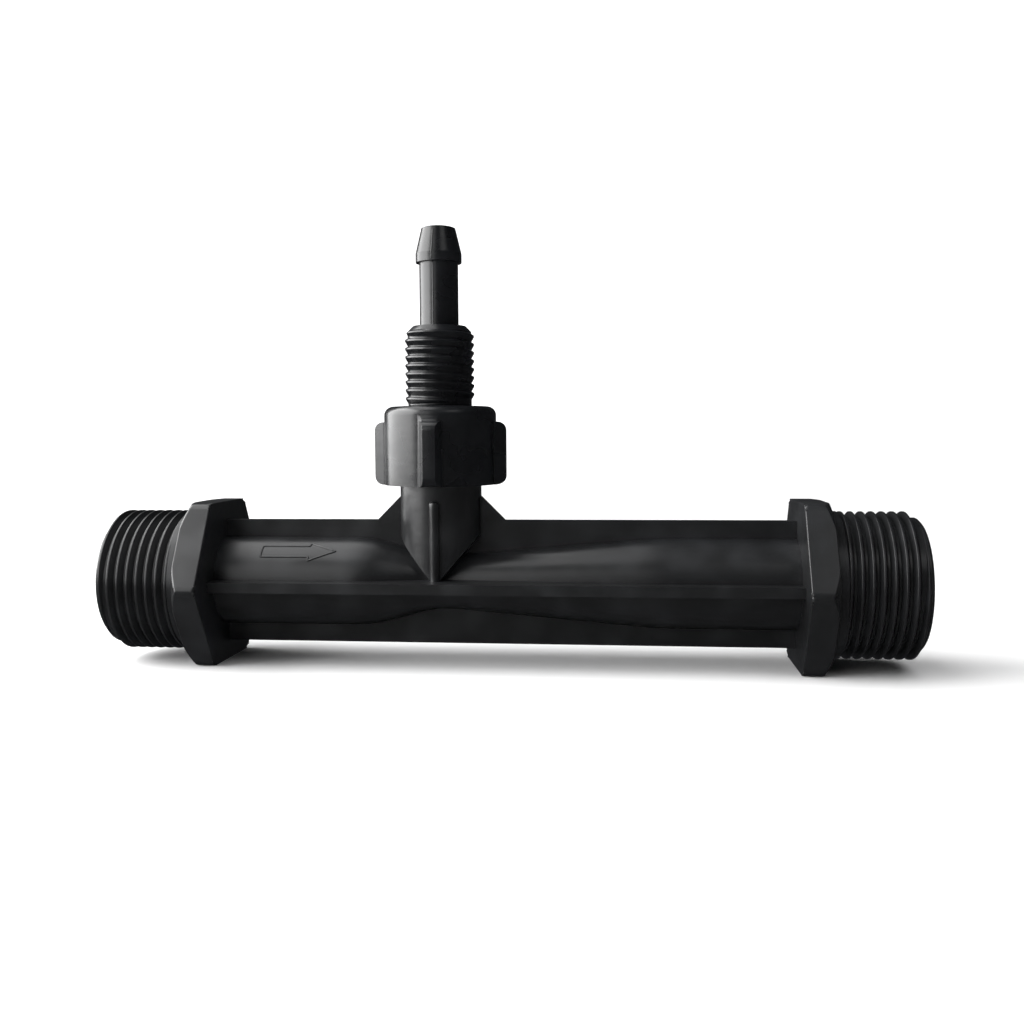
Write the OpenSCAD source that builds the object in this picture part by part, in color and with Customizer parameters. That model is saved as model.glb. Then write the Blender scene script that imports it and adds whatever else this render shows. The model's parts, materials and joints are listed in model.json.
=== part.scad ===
// Venturi fertilizer injector. Water runs along +X through a moulded body with a pipe thread and a
// wrench hexagon at each end. The suction port points up: a union nut holds its hose tail down on a
// seal ring, and a loose ball in the port keeps water from going back up the hose.
// The body rests on the lower flats of its hexagons. All sizes are in millimetres.

/* [Overall] */
// From the suction axis to the inlet end
inlet_reach = 62; // [52:0.5:90]
// From the suction axis to the outlet end
outlet_reach = 85.5; // [70:0.5:120]

/* [Pipe threads] */
// Diameter over the thread crests, for a 3/4 inch pipe
thread_d = 26.44; // [24:0.01:28]
// Distance from one crest to the next
thread_pitch = 1.814; // [1.3:0.001:2.4]
// From the hexagon to the end of the thread
thread_len = 16; // [10:0.5:20]
// Plain collar between the thread and the hexagon
collar_len = 1.8; // [0.5:0.1:4]
// Diameter of the socket inside the thread
socket_d = 19; // [14:0.1:20]

/* [Hexagons] */
// Hexagon across its flats
hex_af = 30; // [28.5:0.1:36]
// Thickness of the hexagon along the pipe
hex_t = 5; // [3:0.1:10]
// Depth of the conical chamfer on the thread side, at a corner
hex_chamfer = 1.9; // [0.5:0.1:2.3]
// Length of that chamfer along the pipe
hex_chamfer_len = 1.5; // [0.5:0.1:2]
// Small chamfer on the tube side, at a corner
hex_edge = 0.6; // [0.2:0.1:1]

/* [Tube and venturi] */
// Outside diameter of the plain tubes
tube_d = 16.6; // [15:0.1:20]
// Bore of the plain tubes
tube_bore_d = 12.6; // [8:0.1:14]
// Outside diameter of the throat
throat_d = 10; // [8.5:0.1:13]
// Bore of the throat
throat_bore_d = 5.4; // [3.5:0.1:7]
// Length of the straight throat
throat_len = 2; // [1:0.1:6]
// Length of the cone that narrows towards the throat
converge_len = 12; // [8:0.5:20]
// Length of the cone that widens after the throat
diverge_len = 39; // [25:0.5:48]
// Diameter across two opposite ribs
rib_d = 23; // [20:0.1:27]
// Thickness of the ribs and gusset webs
rib_t = 1.9; // [1.2:0.1:3]

/* [Suction boss] */
// Diameter of the boss
boss_d = 15; // [14:0.1:16]
// Top of the boss above the pipe's axis
boss_top = 25.8; // [24:0.1:35]
// Slope of the two faces that trim the boss to a wedge above the throat
wedge_angle = 50; // [44:1:58]
// How far the beads on the front and back of the boss stand out
bead_out = 0.8; // [0.5:0.05:1]
// Top of these beads above the pipe's axis
bead_top = 15.4; // [13:0.1:17]
// Radius at the top of these beads
bead_round = 0.7; // [0.2:0.05:0.7]
// Rise of the gusset webs above the ribs
gusset_rise = 4.4; // [2:0.1:5.5]
// Diameter of the boss's thread under the nut
boss_thread_d = 17; // [16.2:0.1:17.6]
// Depth of the valve chamber
chamber_depth = 9.8; // [8:0.1:12]
// Diameter of the passage from the chamber down to the throat
suction_bore_d = 3; // [2:0.1:4]
// Height of the fins that hold the ball off the passage
fin_h = 1.2; // [0.6:0.1:2]
// Thickness of the fins
fin_t = 1; // [0.6:0.1:1.5]

/* [Union nut] */
// Thickness of the nut's round wall
nut_wall = 1.75; // [1.3:0.05:3]
// Height of the nut
nut_h = 14.3; // [12:0.1:15]
// Thickness of the nut's roof
nut_roof = 2.6; // [1.8:0.1:4]
// Radius of the nut's rounded edges
nut_round = 1.6; // [0.4:0.1:1.8]
// How far the grip lugs stand out from the round wall
lug_out = 1.9; // [1:0.1:4]
// Height of the grip lugs
lug_h = 11.5; // [8:0.1:12]
// Width of a grip lug at its outer face
lug_w = 2.2; // [1.2:0.1:4]
// Width of a grip lug at its root
lug_root_w = 4; // [3:0.1:6]
// Number of grip lugs
lug_count = 4; // [3:1:8]

/* [Hose tail] */
// Thickness of the flange
flange_t = 2.4; // [1.6:0.1:4]
// Diameter over the crests of the outside thread
tail_thread_d = 12.7; // [11:0.1:14]
// Distance from one crest of the outside thread to the next
tail_pitch = 1.5; // [1:0.1:2]
// From the flange to the top of the outside thread
tail_thread_len = 17.2; // [12:0.1:24]
// Diameter of the plain stem
stem_d = 7.1; // [6.2:0.1:9]
// Length of the plain stem
stem_len = 11.5; // [6:0.1:16]
// Diameter of the barb at its shoulder
barb_d = 8.4; // [7.6:0.1:10]
// Length of the barb
barb_len = 6.4; // [4:0.1:9]
// Height of the straight band above the barb's shoulder
barb_band = 1.6; // [0.5:0.1:3]
// Diameter of the barb at its tip
barb_tip_d = 6.1; // [5.4:0.1:7.2]
// Radius of the barb's rounded tip
tip_round = 0.9; // [0.3:0.1:0.9]
// Bore of the hose tail
tail_bore_d = 4; // [3:0.1:4.3]

/* [Seal ring and ball] */
// Thickness of the flat seal ring
seal_t = 1.6; // [1:0.1:3]
// Diameter of the ball
ball_d = 8; // [7:0.1:8.6]

/* [Clearances] */
// Between the boss's thread and the nut, all round
nut_play = 0.05; // [0.02:0.01:0.1]
// Between the hose tail's thread and the hole in the nut's roof, all round
tail_play = 0.25; // [0.15:0.05:0.5]
// Between the hose tail's flange and the inside of the nut, all round
flange_play = 0.35; // [0.2:0.05:0.6]
// Between the valve chamber and the hole of the seal ring, all round
seal_step = 0.2; // [0:0.05:0.6]
// Between the ball and the wall of its chamber, all round
ball_room = 1.2; // [0.6:0.1:1.8]
// Between the resting ball and its fins
ball_gap = 0.05; // [0.02:0.01:0.2]
// How far the ball laps over the mouth of its conical seat, all round
seat_lap = 0.4; // [0.2:0.1:1]
// From the nut's lower edge to the start of the boss's thread
skirt_gap = 1; // [0.5:0.1:2]

/* [Hidden] */
$fn = 96;
// Pipe thread form: depth, crest width and flank length as shares of the pitch
form_depth = 0.64;
form_crest = 0.19;
form_flank = form_depth * tan(55 / 2);
// Chamfer at the mouth of a thread or a bore
mouth_chamfer = 0.5;
// Overlap that joins the ribs to the hexagons
bite = 1;
axis_h = hex_af / 2;
port_x = (inlet_reach - outlet_reach) / 2;
inlet_x = -inlet_reach;
outlet_x = outlet_reach;
inlet_hex_x = inlet_x + thread_len;
outlet_hex_x = outlet_x - thread_len - hex_t;
converge_x = -throat_len / 2 - converge_len;
diverge_x = throat_len / 2 + diverge_len;
chamber_d = ball_d + 2 * ball_room;
chamber_floor = boss_top - chamber_depth;
seal_bore_d = chamber_d + 2 * seal_step;
nut_bore_d = boss_thread_d + 2 * nut_play;
nut_d = nut_bore_d + 2 * nut_wall;
lug_d = nut_d + 2 * lug_out;
flange_d = nut_bore_d - 2 * flange_play;
flange_z = boss_top + seal_t;
roof_z = flange_z + flange_t;
nut_z = roof_z + nut_roof - nut_h;
tail_thread_z = flange_z + flange_t + tail_thread_len;
barb_z = tail_thread_z + stem_len;
tail_top = barb_z + barb_len;
seat_d = ball_d - 2 * seat_lap;
seat_depth = (seat_d - tail_bore_d) / 2;
fin_in = suction_bore_d / 2;
ball_z = chamber_floor + fin_h + sqrt(pow(ball_d / 2, 2) - pow(fin_in, 2)) + ball_gap;

// Number of crests, a pitch apart, that fit on a length when the first is no nearer its free end than lead
function crest_count(length, lead, pitch) = floor((length - lead) / pitch);

// Outline of a thread as closed rings, from its free end at 0 back along its length: [radius, distance]
function thread_outline(r, pitch, first, count) =
    let (root = r - form_depth * pitch)
    concat(
        [[root - mouth_chamfer, 0], [root, mouth_chamfer]],
        [for (i = [0 : count - 1])
            let (a = first + i * pitch)
            each [
                [root, a - form_flank * pitch],
                [r, a],
                [r, a + form_crest * pitch],
                [root, a + (form_crest + form_flank) * pitch]
            ]]);

// Turns a piece so that what points up points along the pipe, with its zero at distance x
module along_pipe(x = 0) {
    translate([x, 0, 0]) rotate([0, 90, 0]) children();
}

// Places what is drawn around the port's axis and the pipe's axis into the part's frame
module in_frame() {
    translate([port_x, 0, axis_h]) children();
}

// Half section of a turned block, r wide and h tall, with its upper outer corner rounded
module rounded_section(r, h, corner) {
    square([r - corner, h]);
    square([r, h - corner]);
    translate([r - corner, h - corner]) circle(corner);
}

// One threaded end, turned with its free end at 0 and its plain collar reaching into the hexagon
module pipe_thread() {
    r = thread_d / 2;
    collar = thread_len - collar_len;
    flank = form_flank * thread_pitch;
    count = crest_count(collar, mouth_chamfer + flank, thread_pitch);
    rotate_extrude() polygon(concat(
        [[0, 0]],
        thread_outline(r, thread_pitch, collar - count * thread_pitch, count),
        [[r - form_depth * thread_pitch, collar - flank], [r, collar]],
        [[r, thread_len + bite], [0, thread_len + bite]]));
}

// Wrench hexagon with flats up and down, and its thread side at 0
module hexagon() {
    corner = hex_af / 2 / cos(30);
    intersection() {
        rotate(30) cylinder(r = corner, h = hex_t, $fn = 6);
        rotate_extrude() polygon([
            [0, 0],
            [corner - hex_chamfer, 0],
            [corner, hex_chamfer_len],
            [corner, hex_t - hex_edge],
            [corner - hex_edge, hex_t],
            [0, hex_t]
        ]);
    }
}

// Tube and venturi wall: plain tube, narrowing cone, throat, widening cone, plain tube
module barrel() {
    rotate_extrude() polygon([
        [0, inlet_hex_x],
        [tube_d / 2, inlet_hex_x],
        [tube_d / 2, converge_x],
        [throat_d / 2, -throat_len / 2],
        [throat_d / 2, throat_len / 2],
        [tube_d / 2, diverge_x],
        [tube_d / 2, outlet_hex_x + hex_t],
        [0, outlet_hex_x + hex_t]
    ]);
}

// The way of the water: socket, tube, narrowing cone, throat, widening cone, tube, socket
module water_way() {
    rotate_extrude() polygon([
        [0, inlet_x - bite],
        [socket_d / 2, inlet_x - bite],
        [socket_d / 2, inlet_hex_x],
        [tube_bore_d / 2, inlet_hex_x + hex_t],
        [tube_bore_d / 2, converge_x],
        [throat_bore_d / 2, -throat_len / 2],
        [throat_bore_d / 2, throat_len / 2],
        [tube_bore_d / 2, diverge_x],
        [tube_bore_d / 2, outlet_hex_x],
        [socket_d / 2, outlet_hex_x + hex_t],
        [socket_d / 2, outlet_x + bite],
        [0, outlet_x + bite]
    ]);
}

// Four straight ribs from hexagon to hexagon: above, below, in front and behind
module ribs() {
    length = outlet_hex_x - inlet_hex_x - hex_t + 2 * bite;
    translate([inlet_hex_x + hex_t - bite, -rib_t / 2, -rib_d / 2]) cube([length, rib_t, rib_d]);
    translate([inlet_hex_x + hex_t - bite, -rib_d / 2, -rib_t / 2]) cube([length, rib_d, rib_t]);
}

// Web through the boss that slopes down at 45 degrees to the upper rib on both sides
module gusset_web() {
    reach = boss_d / 2 + gusset_rise;
    foot = rib_d / 2;
    top = foot + gusset_rise;
    rotate([90, 0, 0]) translate([0, 0, -rib_t / 2]) linear_extrude(rib_t) polygon([
        [-reach, 0],
        [reach, 0],
        [reach, foot],
        [boss_d / 2, top],
        [-boss_d / 2, top],
        [-reach, foot]
    ]);
}

// Upright beads on the front and back of the boss, as thick as the ribs on which they stand
module beads() {
    for (side = [-1, 1])
        translate([0, side * (boss_d / 2 + bead_out - rib_t / 2), 0])
            rotate_extrude() rounded_section(rib_t / 2, bead_top, bead_round);
}

// Suction boss: neck trimmed to a wedge that stands on the pipe's axis, and the thread under the nut
module boss() {
    thread_z = nut_z + skirt_gap;
    rise = boss_top * tan(wedge_angle);
    intersection() {
        cylinder(d = boss_d, h = thread_z + mouth_chamfer);
        rotate([90, 0, 0]) translate([0, 0, -boss_d]) linear_extrude(2 * boss_d)
            polygon([[0, 0], [boss_top, rise], [-boss_top, rise]]);
    }
    rotate_extrude() polygon([
        [0, thread_z],
        [boss_thread_d / 2 - mouth_chamfer, thread_z],
        [boss_thread_d / 2, thread_z + mouth_chamfer],
        [boss_thread_d / 2, boss_top - mouth_chamfer],
        [boss_thread_d / 2 - mouth_chamfer, boss_top],
        [0, boss_top]
    ]);
}

// Fins that stand on the chamber's floor around the passage and carry the ball
module ball_fins() {
    for (turn = [45 : 90 : 315])
        rotate(turn)
            translate([fin_in, -fin_t / 2, chamber_floor - bite])
                cube([chamber_d / 2 - fin_in + bite, fin_t, fin_h + bite]);
}

module body() {
    color("#26282b") in_frame() {
        difference() {
            union() {
                along_pipe(inlet_x) pipe_thread();
                along_pipe(outlet_x) mirror([0, 0, 1]) pipe_thread();
                along_pipe(inlet_hex_x) hexagon();
                along_pipe(outlet_hex_x + hex_t) mirror([0, 0, 1]) hexagon();
                along_pipe() barrel();
                ribs();
                gusset_web();
                beads();
                boss();
            }
            along_pipe() water_way();
            cylinder(d = suction_bore_d, h = boss_top);
            translate([0, 0, chamber_floor]) cylinder(d = chamber_d, h = chamber_depth + bite);
        }
        ball_fins();
    }
}

// One grip lug with sloping flanks, standing out along +X
module grip_lug() {
    root_x = nut_d / 2 - bite;
    linear_extrude(lug_h) polygon([
        [root_x, -lug_root_w / 2],
        [nut_d / 2, -lug_root_w / 2],
        [lug_d / 2, -lug_w / 2],
        [lug_d / 2 + bite, -lug_w / 2],
        [lug_d / 2 + bite, lug_w / 2],
        [lug_d / 2, lug_w / 2],
        [nut_d / 2, lug_root_w / 2],
        [root_x, lug_root_w / 2]
    ]);
}

module union_nut() {
    bore_h = nut_h - nut_roof;
    color("#2b2d30") in_frame() translate([0, 0, nut_z]) difference() {
        union() {
            rotate_extrude() rounded_section(nut_d / 2, nut_h, nut_round);
            intersection() {
                rotate_extrude() intersection() {
                    rounded_section(lug_d / 2, lug_h, nut_round);
                    translate([0, lug_h]) mirror([0, 1]) rounded_section(lug_d / 2, lug_h, nut_round);
                }
                for (i = [0 : lug_count - 1])
                    rotate(i * 360 / lug_count) grip_lug();
            }
        }
        translate([0, 0, -bite]) cylinder(d = nut_bore_d, h = bore_h + bite);
        cylinder(d1 = nut_bore_d + 2 * mouth_chamfer, d2 = nut_bore_d, h = mouth_chamfer);
        cylinder(d = tail_thread_d + 2 * tail_play, h = nut_h + bite);
    }
}

module hose_tail() {
    last = tail_thread_len - nut_roof - (form_crest + form_flank) * tail_pitch;
    count = 1 + crest_count(last, tail_pitch, tail_pitch);
    outline = thread_outline(tail_thread_d / 2, tail_pitch, tail_pitch, count);
    root = tail_thread_d / 2 - form_depth * tail_pitch;
    color("#2b2d30") in_frame() difference() {
        union() {
            translate([0, 0, flange_z]) cylinder(d = flange_d, h = flange_t);
            rotate_extrude() polygon(concat(
                [[0, flange_z], [root, flange_z]],
                [for (i = [len(outline) - 1 : -1 : 0]) [outline[i][0], tail_thread_z - outline[i][1]]],
                [[0, tail_thread_z]]));
            translate([0, 0, tail_thread_z - bite]) cylinder(d = stem_d, h = stem_len + bite);
            translate([0, 0, barb_z]) rotate_extrude() intersection() {
                polygon([
                    [0, 0],
                    [barb_d / 2, 0],
                    [barb_d / 2, barb_band],
                    [barb_tip_d / 2, barb_len],
                    [0, barb_len]
                ]);
                rounded_section(barb_d / 2, barb_len, tip_round + (barb_d - barb_tip_d) / 2);
            }
        }
        translate([0, 0, flange_z - bite]) cylinder(d = tail_bore_d, h = tail_top);
        translate([0, 0, flange_z]) cylinder(d1 = seat_d, d2 = tail_bore_d, h = seat_depth);
    }
}

module seal_ring() {
    color("#141414") in_frame() translate([0, 0, boss_top]) difference() {
        cylinder(d = flange_d, h = seal_t);
        translate([0, 0, -bite]) cylinder(d = seal_bore_d, h = seal_t + 2 * bite);
    }
}

module check_ball() {
    color("#d8d6cc") in_frame() translate([0, 0, ball_z]) sphere(d = ball_d);
}

body();
union_nut();
hose_tail();
seal_ring();
check_ball();
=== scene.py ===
# %% [markdown]
# # A venturi fertilizer injector, dressed piece by piece
# Water runs through a ribbed black pipe that narrows to a throat. There it draws fertilizer down an upright
# port, which ends in a union nut and a barbed hose tail. The solids arrive as a fixed frame in metres, and
# this lesson gives them their screw threads, soft moulded edges, small marks and finishes.

# %% Load the frame
import json
import math
import bmesh
import bpy
from mathutils import Matrix, Vector


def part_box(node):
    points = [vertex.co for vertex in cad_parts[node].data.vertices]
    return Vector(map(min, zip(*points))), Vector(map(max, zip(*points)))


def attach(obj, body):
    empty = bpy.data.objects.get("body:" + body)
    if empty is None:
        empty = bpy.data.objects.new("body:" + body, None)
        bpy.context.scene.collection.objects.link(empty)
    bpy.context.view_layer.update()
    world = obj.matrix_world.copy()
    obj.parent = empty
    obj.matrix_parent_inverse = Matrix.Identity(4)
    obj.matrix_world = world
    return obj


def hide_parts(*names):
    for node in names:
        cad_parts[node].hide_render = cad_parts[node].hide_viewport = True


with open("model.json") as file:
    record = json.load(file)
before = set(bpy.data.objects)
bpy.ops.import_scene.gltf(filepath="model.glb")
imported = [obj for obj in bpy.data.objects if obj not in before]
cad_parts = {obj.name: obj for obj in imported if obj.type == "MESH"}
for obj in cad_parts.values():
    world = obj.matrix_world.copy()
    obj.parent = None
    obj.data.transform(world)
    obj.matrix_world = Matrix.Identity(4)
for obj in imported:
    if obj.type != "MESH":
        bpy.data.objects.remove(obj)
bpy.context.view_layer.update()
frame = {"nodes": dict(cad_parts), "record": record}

scene = bpy.context.scene
print("nodes:", sorted(frame["nodes"]))

# %% [markdown]
# ## Sizes that the lesson works from
# Most sizes are read from the frame: the boxes of the solids, and the radius and place of each thread, which
# the record states as mounts. Only what the frame can't say is written here: the pitch of each thread, the
# depth of the solid's rings and the form of the real tooth, as shares of that pitch, how far the ribs stand
# out from the pipe, and the outline of the venturi as places along the pipe, counted from the port, with the
# outside radius at each. The pipe threads are even; the tail's tooth leans up, with a long slope below its
# crest.

# %% Read the sizes
MM = 0.001
mounts = {m["name"]: m for m in frame["record"]["mounts"]}
body_low, body_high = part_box("body")
nut_low, nut_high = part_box("union_nut")
tail_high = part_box("hose_tail")[1]

pipe_z = mounts["outlet_thread"]["pos_m"][2]
pipe_crest = mounts["outlet_thread"]["dims"]["r_mm"] * MM
collar_length = mounts["outlet_thread"]["dims"]["length_mm"] * MM
collar_start = mounts["outlet_thread"]["pos_m"][0] + collar_length / 2
hex_outside = collar_start - collar_length
port_x = mounts["hose_thread"]["pos_m"][0]
tail_crest = mounts["hose_thread"]["dims"]["r_mm"] * MM
tail_thread_length = mounts["hose_thread"]["dims"]["length_mm"] * MM
tail_thread_z = mounts["hose_thread"]["pos_m"][2]

PIPE_PITCH = 1.814 * MM
TAIL_PITCH = 1.5 * MM
RING_DEPTH = 0.64
PIPE_FORM = {"depth": 0.62, "crest": 0.18, "root": 0.82, "shift": 0.0}
TAIL_FORM = {"depth": 0.34, "crest": 0.18, "root": 0.96, "shift": -0.2}
RIB_REACH = 11.5 * MM
RIB_HALF = 0.95 * MM
HEX_THICK = 5 * MM
TUBE_RADIUS = 8.3 * MM
THROAT_RADIUS = 5 * MM
VENTURI = [(-13 * MM, TUBE_RADIUS), (-1 * MM, THROAT_RADIUS),
           (1 * MM, THROAT_RADIUS), (40 * MM, TUBE_RADIUS)]
BOSS_RADIUS = 7.5 * MM
STEM_RADIUS = 3.55 * MM
BARB_RADIUS = 4.2 * MM
ALONG = Vector((1, 0, 0))
UPRIGHT = Vector((0, 0, 1))
pipe_centre = Vector((0, 0, pipe_z))
print(f"pipe thread: crest radius {pipe_crest / MM:.2f} mm, collar from {collar_start / MM:.2f} mm")

# %% [markdown]
# ## The camera
# The photograph looks at the injector from the front, a little from the right and from above. A photograph
# can be matched by eye, or by fitting a camera to points whose place on the part is known. The second way was
# used here, so the camera is a place, a turn and a lens.

# %% Place the camera
CAMERA_PLACE = Vector((22.12, -191.35, 42.35)) * MM
CAMERA_YAW = math.radians(-6.165)
CAMERA_PITCH = math.radians(4.280)
CAMERA_ROLL = math.radians(-0.342)
LENS = 36.76
SENSOR_WIDTH = 36
CLIP_START = 0.01

look = Vector((math.sin(CAMERA_YAW) * math.cos(CAMERA_PITCH),
               math.cos(CAMERA_YAW) * math.cos(CAMERA_PITCH),
               -math.sin(CAMERA_PITCH)))
level = Vector((math.cos(CAMERA_YAW), -math.sin(CAMERA_YAW), 0))
above = level.cross(look)
right = math.cos(CAMERA_ROLL) * level + math.sin(CAMERA_ROLL) * above
up = right.cross(look)
camera_data = bpy.data.cameras.new("camera")
camera_data.lens = LENS
camera_data.sensor_width = SENSOR_WIDTH
camera_data.clip_start = CLIP_START
camera = bpy.data.objects.new("camera", camera_data)
camera.matrix_world = Matrix((
    (right.x, up.x, -look.x, CAMERA_PLACE.x),
    (right.y, up.y, -look.y, CAMERA_PLACE.y),
    (right.z, up.z, -look.z, CAMERA_PLACE.z),
    (0, 0, 0, 1)))
scene.collection.objects.link(camera)
scene.camera = camera
print(f"camera {CAMERA_PLACE.length / MM:.0f} mm from the origin, lens {LENS} mm")

# %% [markdown]
# ## Three helpers for node trees
# Shader trees and geometry trees are built the same way: make a node, set its values, link its sockets. The
# first helper does that in one call. The second makes a tree with named sockets on its outside, and the third
# is short for a sum or a product.

# %% Helpers for node trees
def add(tree, kind, inputs=None, **settings):
    """Put a node in a tree; an input is a value or the socket that feeds it."""
    node = tree.nodes.new(kind)
    for name, value in settings.items():
        setattr(node, name, value)
    for name, value in (inputs or {}).items():
        if isinstance(value, bpy.types.NodeSocket):
            tree.links.new(value, node.inputs[name])
        else:
            node.inputs[name].default_value = value
    return node


def new_group(name, kind, inputs, outputs):
    """A node group; inputs and outputs are (name, socket type, default) rows."""
    tree = bpy.data.node_groups.new(name, kind)
    for rows, side in ((inputs, "INPUT"), (outputs, "OUTPUT")):
        for label, socket_type, default in rows:
            socket = tree.interface.new_socket(label, in_out=side, socket_type=socket_type)
            if default is not None:
                socket.default_value = default
    return tree, tree.nodes.new("NodeGroupInput"), tree.nodes.new("NodeGroupOutput")


def math_node(tree, operation, a, b=0.0):
    """One sum or product; returns its output socket."""
    return add(tree, "ShaderNodeMath", {0: a, 1: b}, operation=operation).outputs[0]


def place_in_mm(tree):
    """The place on the piece in millimetres, for textures whose scale is easier to think of that way."""
    place = add(tree, "ShaderNodeTexCoord").outputs["Object"]
    return add(tree, "ShaderNodeVectorMath", {0: place, "Scale": 1 / MM}, operation="SCALE").outputs[0]


# %% [markdown]
# ## The skin of moulded polypropylene
# The body, nut and tail are injection moulded in black polypropylene. Its skin is satin: a fine grain from
# the mould's steel and long, very shallow waves where the plastic shrank. Several materials need that skin,
# so it is one shader group that puts out a normal, and each material chooses how deep the grain and the waves
# are.

# %% Shader group: moulded skin
WAVE_HEIGHT = 0.3 * MM
GRAIN_HEIGHT = 0.05 * MM
skin, skin_in, skin_out = new_group(
    "moulded_skin", "ShaderNodeTree",
    [("Grain Size", "NodeSocketFloat", 0.25),
     ("Grain Depth", "NodeSocketFloat", 0.1),
     ("Wave Depth", "NodeSocketFloat", 0.2)],
    [("Normal", "NodeSocketVector", None)])
in_mm = place_in_mm(skin)
finer = math_node(skin, "DIVIDE", 1.0, skin_in.outputs["Grain Size"])
grain = add(skin, "ShaderNodeTexNoise", {
    "Vector": in_mm, "Scale": finer, "Detail": 3.0, "Roughness": 0.6})
long_waves = add(skin, "ShaderNodeMapping", {"Vector": in_mm, "Scale": (0.05, 0.5, 0.5)}).outputs[0]
waves = add(skin, "ShaderNodeTexNoise", {"Vector": long_waves, "Scale": 1.0, "Detail": 2.0})
wave_bump = add(skin, "ShaderNodeBump", {
    "Strength": skin_in.outputs["Wave Depth"], "Distance": WAVE_HEIGHT, "Height": waves.outputs["Fac"]})
grain_bump = add(skin, "ShaderNodeBump", {
    "Strength": skin_in.outputs["Grain Depth"], "Distance": GRAIN_HEIGHT, "Height": grain.outputs["Fac"],
    "Normal": wave_bump.outputs[0]})
skin.links.new(grain_bump.outputs[0], skin_out.inputs["Normal"])
print("group:", skin.name)

# %% [markdown]
# ## Bloom and rub marks
# New black plastic is never one even black. Pale bloom lies in soft patches, and small rub marks from the box
# are duller and lighter. One group mixes both into a colour and a roughness, so no surface is a flat value.
# A Mix node has hidden sockets for each kind of data, so its factor and two colours are named by number here.

# %% Shader group: bloom and rub marks
DULLING = 0.18
MIX_FACTOR, MIX_COLOUR_A, MIX_COLOUR_B = 0, 6, 7
MIXED_COLOUR = 2
marks, marks_in, marks_out = new_group(
    "bloom_and_rubs", "ShaderNodeTree",
    [("Plastic", "NodeSocketColor", (0.02, 0.02, 0.02, 1)),
     ("Bloom", "NodeSocketColor", (0.05, 0.055, 0.06, 1)),
     ("Bloom Amount", "NodeSocketFloat", 0.5),
     ("Rub Amount", "NodeSocketFloat", 0.3),
     ("Roughness", "NodeSocketFloat", 0.4)],
    [("Color", "NodeSocketColor", None), ("Roughness", "NodeSocketFloat", None)])
in_mm = place_in_mm(marks)
patches = add(marks, "ShaderNodeTexNoise", {
    "Vector": in_mm, "Scale": 0.16, "Detail": 1.5, "Roughness": 0.5})
bloom = add(marks, "ShaderNodeMapRange", {
    "Value": patches.outputs["Fac"], "From Min": 0.42, "From Max": 0.72,
    "To Max": marks_in.outputs["Bloom Amount"]})
stretched = add(marks, "ShaderNodeMapping", {"Vector": in_mm, "Scale": (0.25, 1.6, 1.6)}).outputs[0]
rub_noise = add(marks, "ShaderNodeTexNoise", {
    "Vector": stretched, "Scale": 1.1, "Detail": 3.0, "Roughness": 0.55})
rubs = add(marks, "ShaderNodeMapRange", {
    "Value": rub_noise.outputs["Fac"], "From Min": 0.58, "From Max": 0.82,
    "To Max": marks_in.outputs["Rub Amount"]})
lighter = math_node(marks, "MAXIMUM", bloom.outputs[0], rubs.outputs[0])
tint = add(marks, "ShaderNodeMix", {
    MIX_FACTOR: lighter, MIX_COLOUR_A: marks_in.outputs["Plastic"],
    MIX_COLOUR_B: marks_in.outputs["Bloom"]}, data_type="RGBA")
duller = math_node(marks, "MULTIPLY", lighter, DULLING)
rougher = math_node(marks, "ADD", marks_in.outputs["Roughness"], duller)
marks.links.new(tint.outputs[MIXED_COLOUR], marks_out.inputs["Color"])
marks.links.new(rougher, marks_out.inputs["Roughness"])
print("group:", marks.name)


# %% [markdown]
# ## The plastics, the rubber and the ball
# Each finish is a Principled shader. What is the same all over, such as the specular level, is set on the
# shader's own socket. What changes over the surface comes from the two groups.

# %% Materials
def moulded(name, plastic, bloom_colour, roughness, grain_depth, wave_depth, bloom_amount, rub_amount,
            specular=0.5):
    """A moulded finish made of the two shared groups."""
    material = bpy.data.materials.new(name)
    material.use_nodes = True
    tree = material.node_tree
    shader = tree.nodes["Principled BSDF"]
    shader.inputs["Specular IOR Level"].default_value = specular
    marks_node = add(tree, "ShaderNodeGroup", {
        "Plastic": plastic, "Bloom": bloom_colour, "Bloom Amount": bloom_amount,
        "Rub Amount": rub_amount, "Roughness": roughness}, node_tree=marks)
    skin_node = add(tree, "ShaderNodeGroup", {
        "Grain Depth": grain_depth, "Wave Depth": wave_depth}, node_tree=skin)
    tree.links.new(marks_node.outputs["Color"], shader.inputs["Base Color"])
    tree.links.new(marks_node.outputs["Roughness"], shader.inputs["Roughness"])
    tree.links.new(skin_node.outputs["Normal"], shader.inputs["Normal"])
    return material


body_plastic = moulded(
    "black_body_plastic", plastic=(0.0085, 0.0088, 0.0094, 1), bloom_colour=(0.017, 0.018, 0.020, 1),
    roughness=0.30, grain_depth=0.05, wave_depth=0.12, bloom_amount=0.5, rub_amount=0.2)
fitting_plastic = moulded(
    "black_fitting_plastic", plastic=(0.0045, 0.0048, 0.0055, 1), bloom_colour=(0.012, 0.0135, 0.016, 1),
    roughness=0.26, grain_depth=0.05, wave_depth=0.08, bloom_amount=0.3, rub_amount=0.1)
seal_rubber = moulded(
    "seal_rubber", plastic=(0.012, 0.012, 0.012, 1), bloom_colour=(0.030, 0.030, 0.030, 1),
    roughness=0.7, grain_depth=0.4, wave_depth=0.0, bloom_amount=0.6, rub_amount=0.2, specular=0.4)
ball_plastic = moulded(
    "ball_plastic", plastic=(0.68, 0.67, 0.62, 1), bloom_colour=(0.58, 0.56, 0.50, 1),
    roughness=0.28, grain_depth=0.03, wave_depth=0.0, bloom_amount=0.4, rub_amount=0.1)
print("materials:", [m.name for m in (body_plastic, fitting_plastic, seal_rubber, ball_plastic)])

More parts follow.
